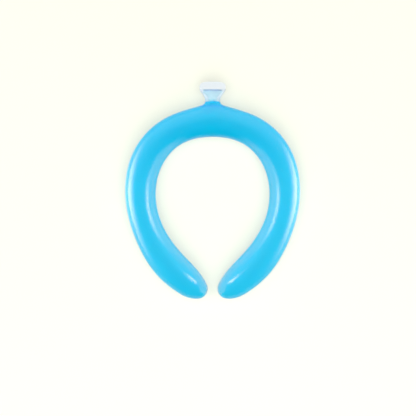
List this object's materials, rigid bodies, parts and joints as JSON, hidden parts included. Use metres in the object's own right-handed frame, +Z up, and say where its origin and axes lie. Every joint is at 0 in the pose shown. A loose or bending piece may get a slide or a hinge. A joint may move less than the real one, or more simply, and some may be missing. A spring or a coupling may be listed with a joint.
{
  "type": "neck cooling ring",
  "caption": "U-shaped neck cooling ring: a clear hollow moulded tube filled with blue gel, with an open front between rounded tips and a flattened, welded filling neck at the middle of the back",
  "frame": {"origin": "On the surface that the ring lies on, under the middle of its box", "axes": "+Z up; +Y to the filling neck at the middle of the back, -Y to the free tips at the open front; +X across, to the right when seen from above with the filling neck at the top; the ring is the same left and right of X = 0"},
  "size_m": [0.1502, 0.1862, 0.023],
  "materials": {
    "clear_skin": "clear soft plastic, satin gloss",
    "blue_gel": "saturated sky-blue gel, smooth",
    "clear_tab": "clear welded plastic, faintly milky"
  },
  "bodies": {
    "root": {"skin": "clear_skin", "gel_core": "blue_gel", "seal_tab": "clear_tab"}
  },
  "joints": []
}
